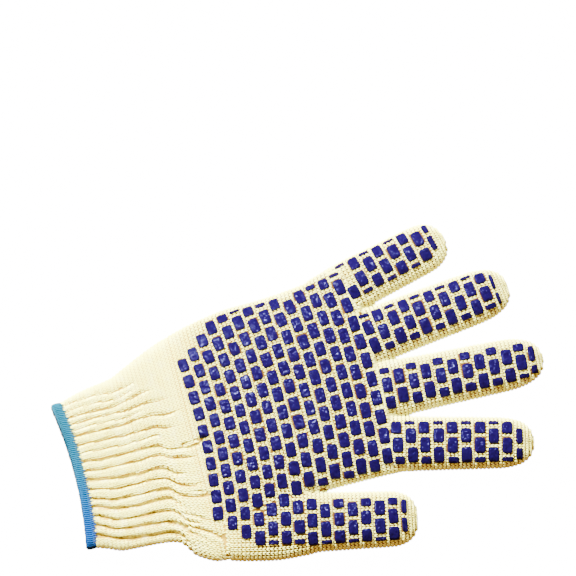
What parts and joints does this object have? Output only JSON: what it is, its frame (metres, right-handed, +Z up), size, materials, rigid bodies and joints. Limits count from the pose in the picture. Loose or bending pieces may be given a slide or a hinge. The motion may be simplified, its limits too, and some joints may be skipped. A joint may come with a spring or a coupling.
{
  "type": "knitted work glove with printed grip blocks",
  "caption": "Right-hand string-knit cotton work glove lying palm up: blue raised grip blocks on palm and fingers, a ribbed cuff, and a turquoise overlocked edge.",
  "frame": {"origin": "the middle of the glove's bounding rectangle, on the surface that it lies on", "axes": "+X from the cuff to the fingertips, +Y towards the little finger, +Z up out of the printed palm"},
  "size_m": [0.245, 0.1578, 0.0162],
  "materials": {
    "cotton_knit": "undyed ring-spun cotton, coarse matt knit",
    "edge_thread": "turquoise overlock thread, dense loops with a slight sheen",
    "grip_print": "glossy navy-blue soft vinyl with lumpy tops"
  },
  "bodies": {
    "root": {"palm": "cotton_knit", "thumb": "cotton_knit", "index_finger": "cotton_knit", "middle_finger": "cotton_knit", "ring_finger": "cotton_knit", "little_finger": "cotton_knit", "rib_cuff": "cotton_knit", "cuff_edging": "edge_thread"}
  },
  "joints": []
}
